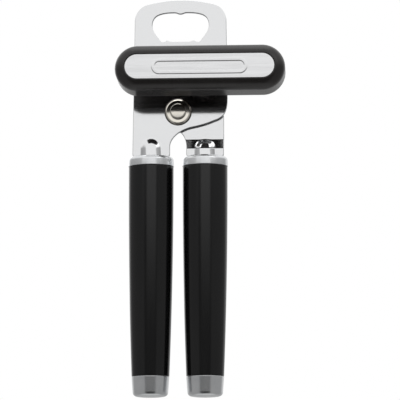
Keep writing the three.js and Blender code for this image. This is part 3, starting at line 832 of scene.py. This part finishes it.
def make_pivot():
    """Dished front washer, plain rear washer, and a rivet with a flat head."""
    bore = RIVET_SHANK + FIT
    outer = pivot.x1 - pivot.x
    rim, bevel_width, bevel_drop = 0.65, 0.6, 0.35
    turned_node("pivot_front_washer", [
        (bore, pivot.y1),
        (outer, pivot.y1),
        (outer, pivot.y1 - 0.08),
        (outer - rim, pivot.y0 + bevel_drop, 0.07),
        (outer - rim - bevel_width, pivot.y0, 0.12),
        (bore, pivot.y0, 0.1),
    ], pivot, segments=128)
    turned_node("pivot_rear_washer", ring(Place("pivot_rear_washer"), bore), pivot)
    rivet = Place("pivot_rivet")
    head = rivet.x1 - rivet.x
    seat, tail = rivet.y0 + RIVET_HEAD_HEIGHT, rivet.y1 - RIVET_HEAD_HEIGHT
    turned_node("pivot_rivet", [
        (0, rivet.y0),
        *curve((head * 0.8, rivet.y0), (head, rivet.y0 + 0.03), (head, rivet.y0 + 0.55), steps=8),
        (head, seat, 0.08),
        (RIVET_SHANK, seat),
        (RIVET_SHANK, tail),
        (head, tail, 0.08),
        *curve((head, tail + 0.3), (head, rivet.y1), (0.3, rivet.y1)),
        (0, rivet.y1),
    ], pivot)


# ---------------------------------------------------------------- handles


def tang_mouth(axis_x, z0, z1):
    """The tool that opens a collar and a grip for the tang and its rib."""
    half = TANG_WIDTH / 2 + FIT
    back = SHEET / 2 + FIT
    crest = RIB_HALF - RIB_FLANK + FIT
    outline = [
        (half, back), (half, -back), (RIB_HALF + FIT, -back), (crest, -back - RIB_HEIGHT),
        (-crest, -back - RIB_HEIGHT), (-RIB_HALF - FIT, -back), (-half, -back), (-half, back),
    ]
    count = len(outline)
    vertices = [(axis_x + x, front_mid + y, z) for z in (z0, z1) for x, y in outline]
    faces = [tuple(range(count)), tuple(range(count, 2 * count))]
    faces += [(i, (i + 1) % count, (i + 1) % count + count, i + count) for i in range(count)]
    return new_object("mouth", vertices, faces)


def make_collar(side, axis, oval):
    """A cup with rounded shoulders, opened for the tang."""
    flare = 0.15
    half = collar.x1 - collar.x
    cup = turned("collar", [
        (0, collar.z1),
        (half - flare, collar.z1, 2.0),
        (half, collar.z0, 0.18),
        (half - COLLAR_WALL, collar.z0),
        (half - COLLAR_WALL, collar.z1 - COLLAR_WALL),
        (0, collar.z1 - COLLAR_WALL),
    ], axis, **oval)
    carve(cup, tang_mouth(axis.x, collar.z0, collar.z1 + 1))
    keep_flats(stand_for(cup, f"{side}_collar"))


def make_grip(side, axis, oval):
    """A moulded grip that tapers faster towards its end, with a neck in the collar."""
    rows = 32
    top, end = collar.z0 - FIT, grip.z0
    top_half, end_half = axis.x1 - axis.x, cap.x1 - cap.x
    skin = []
    for i in range(rows + 1):
        share = i / rows
        skin.append((top_half - (top_half - end_half) * share ** 2.2, top - (top - end) * share))
    skin[0] = (*skin[0], 0.25)
    skin[-1] = (*skin[-1], 0.25)
    neck = collar.x1 - collar.x - COLLAR_WALL - FIT
    neck_top = collar.z1 - COLLAR_WALL - FIT
    body = turned("grip", [
        (0, neck_top),
        (neck, neck_top, 0.3),
        (neck, top),
        *skin,
        (PLUG_RADIUS + FIT, end),
        (PLUG_RADIUS + FIT, cap.z1 + FIT),
        (0, cap.z1 + FIT),
    ], axis, **oval)
    carve(body, tang_mouth(axis.x, tang_foot - 1, neck_top + 1))
    keep_flats(stand_for(body, f"{side}_grip"))


def make_end_cap(side, axis, oval):
    """A tapered metal cap with a rounded rim and a shallow domed end, on its plug."""
    foot, top = CAP_FOOT_HALF, grip.z0 - FIT
    turned_node(f"{side}_end_cap", [
        (0, cap.z1),
        (PLUG_RADIUS, cap.z1, 0.3),
        (PLUG_RADIUS, top),
        (cap.x1 - cap.x, top, 0.2),
        *curve((foot, cap.z0 + 2.8), (foot - 0.12, cap.z0 + 0.95), (foot - 1.9, cap.z0 + 0.5)),
        *curve((foot - 2.1, cap.z0 + 0.46), (foot * 0.5, cap.z0), (0.2, cap.z0)),
        (0, cap.z0),
    ], axis, **oval)


def make_handle(side):
    axis = Place(f"{side}_grip")
    oval = {"upright": True, "oval": OVAL, "segments": 128}
    make_collar(side, axis, oval)
    make_grip(side, axis, oval)
    make_end_cap(side, axis, oval)


# ---------------------------------------------------------------- knob


def make_knob():
    outer = knob.z1 - drive.z
    stretch = knob.x1 - drive.x - outer
    core = Place("knob_core")
    key = Place("knob_key")
    recess = inlay.z1 - drive.z + 0.1
    floor = inlay.y1 + 0.1
    inner = outer - KNOB_WALL
    roll = 0.9  # rounding of the wall's rear edge
    # Shell: a rim that falls from the inlay to the side wall, a recess in front and a hollow behind.
    turned_node("knob_shell", [
        (0, floor),
        (recess, floor),
        (recess, knob.y0 + 0.12, 0.1),
        *curve((recess + 0.25, knob.y0), (recess + 1.9, knob.y0 + 0.15), (outer - 0.35, knob.y0 + 1.7),
               (outer, knob.y0 + BEZEL), steps=20),
        (outer, knob.y1, roll),
        (inner, knob.y1, 0.15),
        (inner, key.y0 - FIT),
        (0, key.y0 - FIT),
    ], drive, stretch=stretch, segments=160)

    # Core: the cover in the knob's back, the hub that stands on the shaft and its inner boss.
    cover_y1 = knob.y1 - COVER_INSET
    cover_y0 = cover_y1 - COVER
    bore = JOURNAL + FIT
    cover = turned("core", [
        (0, cover_y0),
        (inner - FIT, cover_y0),
        (inner - FIT, cover_y1, 0.3),
        (0, cover_y1),
    ], drive, stretch=stretch, segments=160)
    boss = bore + 2.4
    hub = turned("hub", [
        (bore, core.y0),
        (boss, core.y0),
        (boss, cover_y0 + 0.4),
        (HUB_RADIUS, cover_y0 + 0.4),
        (HUB_RADIUS, core.y1, 0.4),
        (bore, core.y1, 0.2),
    ], drive)
    carve(cover, turned("bore", [(0, core.y0), (bore + 0.5, core.y0), (bore + 0.5, 0), (0, 0)], drive))
    carve(cover, hub, "UNION")
    keep_flats(stand_for(cover, "knob_core"))


def relief(x, z):
    """Height of the inlay's plain raised frame, a long pill, at (x, z)."""
    half_length, half_width = 24.0, 3.3
    line, edge = 0.5, 0.55
    along = max(0.0, abs(x - drive.x) - (half_length - half_width))
    away = abs(math.hypot(along, z - drive.z) - half_width)
    return 0.07 * ramp((line + edge - away) / edge, 0.5)


def make_inlay():
    """A brushed plate with a plain raised pill frame."""
    half_length, half_width = inlay.x1 - drive.x, inlay.z1 - drive.z
    reach_x, reach_z = 26.0, 4.6
    area = (drive.x - reach_x, drive.x + reach_x, drive.z - reach_z, drive.z + reach_z)
    stand_for(plate(
        "inlay",
        [stadium(drive, half_length, half_width)],
        lambda x, z: inlay.y0 - relief(x, z),
        level(inlay.y1),
        [area],
        spacing=0.25,
        edge=0.14,
    ), "knob_inlay")


# ---------------------------------------------------------------- drive and cutter


def thread(radius, depth, start, end, pitch=0.7):
    """Profile points of a fine thread between two places."""
    turns = max(1, round((end - start) / pitch))
    step = (end - start) / turns
    points = []
    for i in range(turns):
        points.append((radius - depth, start + step * (i + 0.1)))
        points.append((radius, start + step * (i + 0.6)))
    return points


def make_bush_and_hub():
    """The shaft's flanged bush in the front arm, and the plain rings on the shaft."""
    bush = Place("drive_bush")
    bore = JOURNAL + FIT
    sleeve = bore + BUSH_WALL
    outer, flange = bush.x1 - bush.x, bush.y0 + 1.0
    turned_node("drive_bush", [
        (bore, bush.y0, 0.15),
        (outer, bush.y0, 0.2),
        (outer, flange, 0.12),
        (sleeve, flange),
        (sleeve, bush.y1, 0.1),
        (bore, bush.y1, 0.1),
    ], drive)
    for node in ("hub_washer", "drive_spacer"):
        turned_node(node, ring(Place(node), bore), drive)


def make_shaft():
    shaft = Place("drive_shaft")
    gear = Place("drive_gear")
    feed = Place("feed_wheel")
    key = Place("knob_key")
    thing = turned("shaft", [
        (0, key.y1 + FIT / 2),
        (JOURNAL, key.y1 + FIT / 2, 0.2),
        (JOURNAL, gear.y0 - FIT, 0.2),
        (2.0, gear.y0 - FIT),
        (2.0, feed.y1 - 0.1),
        (THREAD_RADIUS - 0.25, feed.y1 - 0.1),
        *thread(THREAD_RADIUS, 0.22, feed.y1, shaft.y1 - 0.3),
        (THREAD_RADIUS - 0.3, shaft.y1, 0.1),
        (0, shaft.y1),
    ], drive)
    for start, end in ((shaft.y0, key.y1 + FIT), (gear.y0 - FIT - 0.1, feed.y1)):
        carve(thing, disc("bar", [square(drive, SQUARE_HALF)], start, end), "UNION")
    keep_flats(stand_for(thing, "drive_shaft"))


def tooth_angle(radius, pitch_radius):
    """Half the angle of a gear tooth at a radius, on an involute flank."""
    def involute(angle):
        return math.tan(angle) - angle

    here = math.acos(min(1.0, pitch_radius * math.cos(PRESSURE_ANGLE) / radius))
    at_pitch = math.pi / (2 * GEAR_TEETH) - BACKLASH / (2 * pitch_radius)
    return at_pitch + involute(PRESSURE_ANGLE) - involute(here)


def gear_outline(axis, phase):
    pitch_radius = (drive.x - cutter.x) / 2
    module = 2 * pitch_radius / GEAR_TEETH
    root, tip = pitch_radius - 1.15 * module, pitch_radius + 0.85 * module
    radii = [root + (tip - root) * i / 6 for i in range(7)]
    points = []
    for tooth in range(GEAR_TEETH):
        middle = phase + tooth * 2 * math.pi / GEAR_TEETH
        flank = [(r, middle - tooth_angle(r, pitch_radius)) for r in radii]
        flank += [(r, middle + tooth_angle(r, pitch_radius)) for r in reversed(radii)]
        points += [(axis.x + r * math.cos(a), axis.z + r * math.sin(a)) for r, a in flank]
    return points


def serrated(axis, radius, depth, teeth):
    """Outline of a wheel with pointed teeth."""
    points = []
    for i in range(teeth * 2):
        reach = radius - depth if i % 2 else radius
        angle = i * math.pi / teeth
        points.append((axis.x + reach * math.cos(angle), axis.z + reach * math.sin(angle)))
    return points


def make_wheels():
    """Both gears, the feed wheel and its nut."""
    gear = Place("drive_gear")
    feed = Place("feed_wheel")
    hole = square(drive, SQUARE_HALF + FIT)
    stud_hole = circle(cutter, CUTTER_JOURNAL + FIT)
    toothed = (
        ("drive_gear", [gear_outline(drive, math.pi), hole]),
        ("cutter_gear", [gear_outline(cutter, math.pi / GEAR_TEETH), stud_hole]),
    )
    for node, loops in toothed:
        bevel(stand_for(disc(node, loops, gear.y0, gear.y1), node), 0.14, segments=2)
    wheel = disc("feed", [serrated(drive, feed.x1 - feed.x, 0.8, FEED_TEETH), hole], feed.y0, feed.y1)
    bevel(stand_for(wheel, "feed_wheel"), 0.08, segments=2)
    make_nut()


def make_nut():
    """A hexagon nut whose corners are turned off on both faces."""
    nut = Place("feed_wheel_nut")
    corner = max(nut.x1 - nut.x, nut.z1 - nut.z)
    angles = [(k + 0.5) * math.pi / 3 for k in range(6)]
    hexagon = [(drive.x + corner * math.cos(a), drive.z + corner * math.sin(a)) for a in angles]
    thing = disc("nut", [hexagon, circle(drive, THREAD_RADIUS + FIT)], nut.y0, nut.y1)
    face, middle = corner * 0.88, corner * 1.01
    chamfer = turned("chamfer", [
        (0, nut.y0 - 0.1),
        (face, nut.y0 - 0.1),
        (middle, nut.y0 + 0.4),
        (middle, nut.y1 - 0.4),
        (face, nut.y1 + 0.1),
        (0, nut.y1 + 0.1),
    ], drive)
    carve(thing, chamfer, "INTERSECT")
    keep_flats(stand_for(thing, "feed_wheel_nut"))


def make_cutter():
    """The cutting wheel, its washer, and the stud with its slotted screw."""
    washer = Place("cutter_washer")
    bore = CUTTER_JOURNAL + FIT
    radius = cutter.x1 - cutter.x
    slope = 3.2  # width of the ground bevel behind the cutting edge
    face = cutter.y1 - 1.6
    turned_node("cutting_wheel", [
        (bore, cutter.y0, 0.1),
        (CUTTER_HUB, cutter.y0, 0.15),
        (CUTTER_HUB, face),
        (radius, face, 0.04),
        (radius, face + 0.15, 0.04),
        (radius - slope, cutter.y1, 0.3),
        (bore, cutter.y1, 0.1),
    ], cutter, segments=160)
    turned_node("cutter_washer", [
        (bore, washer.y0, 0.1),
        (CUTTER_HUB, washer.y0, 0.1),
        (CUTTER_HUB, washer.y1, 0.1),
        (bore, washer.y1, 0.1),
    ], cutter)
    shank = 1.5
    make_cutter_screw(shank)
    make_cutter_stud(shank + FIT)


def make_cutter_screw(shank):
    screw = Place("cutter_screw")
    hub = CUTTER_HUB
    seat = screw.y1 - 1.6
    head = turned("screw", [
        (0, screw.y0),
        (shank, screw.y0, 0.2),
        (shank, seat),
        (hub, seat, 0.12),
        (hub, seat + 0.9, 0.25),
        *curve((hub - 0.35, seat + 1.15), (hub * 0.7, screw.y1), (0.3, screw.y1), steps=8),
        (0, screw.y1),
    ], cutter)
    slot_half, slot_deep = 0.5, 0.7
    x0, x1 = cutter.x - hub - 1, cutter.x + hub + 1
    z0, z1 = cutter.z - slot_half, cutter.z + slot_half
    slot = disc("slot", [[(x0, z0), (x1, z0), (x1, z1), (x0, z1)]], screw.y1 - slot_deep, screw.y1 + 1)
    carve(head, slot)
    keep_flats(stand_for(head, "cutter_screw"))


def make_cutter_stud(hollow):
    gear = Place("cutter_gear")
    stud = Place("cutter_stud")
    shoulder, end = rear_sheet.y1 + FIT, gear.y0 - FIT
    turned_node("cutter_stud", [
        (0, stud.y0),
        (CUTTER_JOURNAL, stud.y0, 0.2),
        (CUTTER_JOURNAL, shoulder),
        (CUTTER_HUB, shoulder, 0.1),
        (CUTTER_HUB, end, 0.1),
        (CUTTER_JOURNAL, end),
        (CUTTER_JOURNAL, stud.y1, 0.2),
        (hollow, stud.y1),
        (hollow, gear.y0),
        (0, gear.y0),
    ], cutter)


def dress_kept_nodes():
    """CAD nodes that stay take their slot's finish."""
    for node, thing in frame["nodes"].items():
        if not thing.hide_render:
            thing.data.materials.clear()
            thing.data.materials.append(FINISH[SLOT[node]])


# ---------------------------------------------------------------- studio


DEGREES = 180 / math.pi
# Panels in front of the opener, each over the one before: how far the fades of its two sides reach
# in azimuth and in elevation, in degrees, and its brightness.
PANELS = (
    (((-31, -25), (26, 32)), ((-75, -60), (9, 12)), 0.15),
    (((-31, -25), (26, 32)), ((-70, -60), (-9, -5)), 0.05),
    (((-20, -15), (20, 28)), ((5.0, 10.3), (62, 70)), 0.97),
    (((-42, -36), (19, 25)), ((11, 15), (62, 70)), 0.97),
)


class World(Nodes):
    """Maths on the direction of a ray: azimuth 0 is in front of the opener, and 90 at its right."""

    def __init__(self):
        world = bpy.data.worlds.new("studio")
        bpy.context.scene.world = world
        world.use_nodes = True
        super().__init__(world.node_tree)
        place = self.add("TexCoord").outputs["Generated"]
        x, y, z = self.add("SeparateXYZ", {"Vector": place}).outputs
        azimuth = self.maths("ARCTAN2", x, self.maths("MULTIPLY", y, -1.0))
        self.azimuth = self.maths("MULTIPLY", azimuth, DEGREES)
        self.elevation = self.maths("MULTIPLY", self.maths("ARCSINE", z), DEGREES)

    def rise(self, value, start, end, low=0.0, high=1.0):
        """Smooth step from low to high as the value goes from start to end."""
        return self.climb(value, start, end, low, high, "SMOOTHSTEP")

    def card(self, azimuths, elevations):
        """1 inside a soft rectangle: each side is (start, end) of its fade, in degrees."""
        (a0, a1), (a2, a3) = azimuths
        (e0, e1), (e2, e3) = elevations
        across = self.maths("SUBTRACT", self.rise(self.azimuth, a0, a1), self.rise(self.azimuth, a2, a3))
        up = self.maths("SUBTRACT", self.rise(self.elevation, e0, e1), self.rise(self.elevation, e2, e3))
        return self.maths("MULTIPLY", across, up)

    def over(self, base, weight, value):
        """The base, with the value over it where the weight is 1."""
        change = self.maths("MULTIPLY", self.maths("SUBTRACT", value, base), weight)
        return self.maths("ADD", base, change)


def make_world():
    """White to the camera. Reflections see the panels, grey sides, and a back that is dimmer below."""
    world = World()
    light = world.rise(world.elevation, 8, 34, 0.32, 0.95)
    for azimuths, elevations, brightness in PANELS:
        light = world.over(light, world.card(azimuths, elevations), brightness)
    behind = world.rise(world.maths("ABSOLUTE", world.azimuth), 112, 138)
    light = world.over(light, behind, world.rise(world.elevation, -25, 30, 0.42, 0.98))
    light = world.over(light, world.rise(world.elevation, -48, -66), 0.58)
    path = world.add("LightPath").outputs
    seen = world.maths("MAXIMUM", path["Is Camera Ray"], path["Is Transmission Ray"])
    background = world.tree.nodes["Background"].inputs
    world.put(world.over(light, seen, 1.0), background["Strength"])
    world.put((1, 1, 1, 1), background["Color"])


def soft_light(name, place, aim, size, radiance):
    """A square area light of an even radiance, not seen by the camera itself."""
    lamp = bpy.data.lights.new(name, "AREA")
    lamp.shape = "SQUARE"
    lamp.size = size
    lamp.energy = radiance * math.pi * size * size
    thing = bpy.data.objects.new(name, lamp)
    thing.location = place
    thing.rotation_mode = "QUATERNION"
    thing.rotation_quaternion = (Vector(aim) - Vector(place)).to_track_quat("-Z", "Y")
    thing.visible_camera = False
    bpy.context.scene.collection.objects.link(thing)


def make_floor():
    """A plain pale floor far below the hanging opener, nearly white to the camera."""
    drop, reach = -1.7, 40.0
    camera_share = 0.92  # how much of what the camera sees of it is plain white
    corners = [(-reach, -reach), (reach, -reach), (reach, reach), (-reach, reach)]
    mesh = bpy.data.meshes.new("floor")
    mesh.from_pydata([(x, y, drop) for x, y in corners], [], [(0, 1, 2, 3)])
    floor = bpy.data.objects.new("floor", mesh)
    bpy.context.scene.collection.objects.link(floor)
    material = bpy.data.materials.new("floor")
    material.use_nodes = True
    nodes = Nodes(material.node_tree)
    paint = nodes.tree.nodes["Principled BSDF"]
    nodes.put((0.9, 0.9, 0.9, 1), paint.inputs["Base Color"])
    nodes.put(0.9, paint.inputs["Roughness"])
    seen = nodes.add("LightPath").outputs["Is Camera Ray"]
    share = nodes.maths("MULTIPLY", seen, camera_share)
    glow = nodes.add("Emission")
    mix = nodes.add("MixShader", {0: share, 1: paint.outputs[0], 2: glow.outputs[0]})
    nodes.put(mix.outputs[0], nodes.tree.nodes["Material Output"].inputs["Surface"])
    mesh.materials.append(material)
    floor.visible_glossy = False


def make_camera():
    """The camera stands below the handles' ends and a little to the right, and looks up."""
    aim = Vector((drive.x - 1.4, front_mid - 1.0, drive.z - 64.5)) * MM
    azimuth, elevation, distance = math.radians(3.01), math.radians(-9.575), 1.1963
    back = Vector((
        math.sin(azimuth) * math.cos(elevation),
        -math.cos(azimuth) * math.cos(elevation),
        math.sin(elevation),
    ))
    lens = bpy.data.cameras.new("camera")
    lens.sensor_width = 36
    lens.lens = 204.7
    camera = bpy.data.objects.new("camera", lens)
    camera.location = aim + back * distance
    camera.rotation_mode = "QUATERNION"
    camera.rotation_quaternion = (-back).to_track_quat("-Z", "Y")
    bpy.context.scene.collection.objects.link(camera)
    bpy.context.scene.camera = camera


def make_studio():
    bpy.context.scene.view_settings.view_transform = "Standard"
    make_world()
    make_floor()
    centre = (CAD_BOX[0] + CAD_BOX[1]) / 2
    soft_light("top", centre + Vector((0.0, -0.1, 1.1)), centre, 0.8, 0.8)
    soft_light("front_right", centre + Vector((0.75, -1.0, 0.75)), centre, 0.6, 0.5)
    soft_light("behind", centre + Vector((-0.6, 1.3, 0.5)), centre, 0.8, 0.5)
    make_camera()


# ---------------------------------------------------------------- the opener


make_arms()
make_pivot()
make_handle("left")
make_handle("right")
make_knob()
make_inlay()
make_bush_and_hub()
make_shaft()
make_wheels()
make_cutter()
dress_kept_nodes()
make_studio()
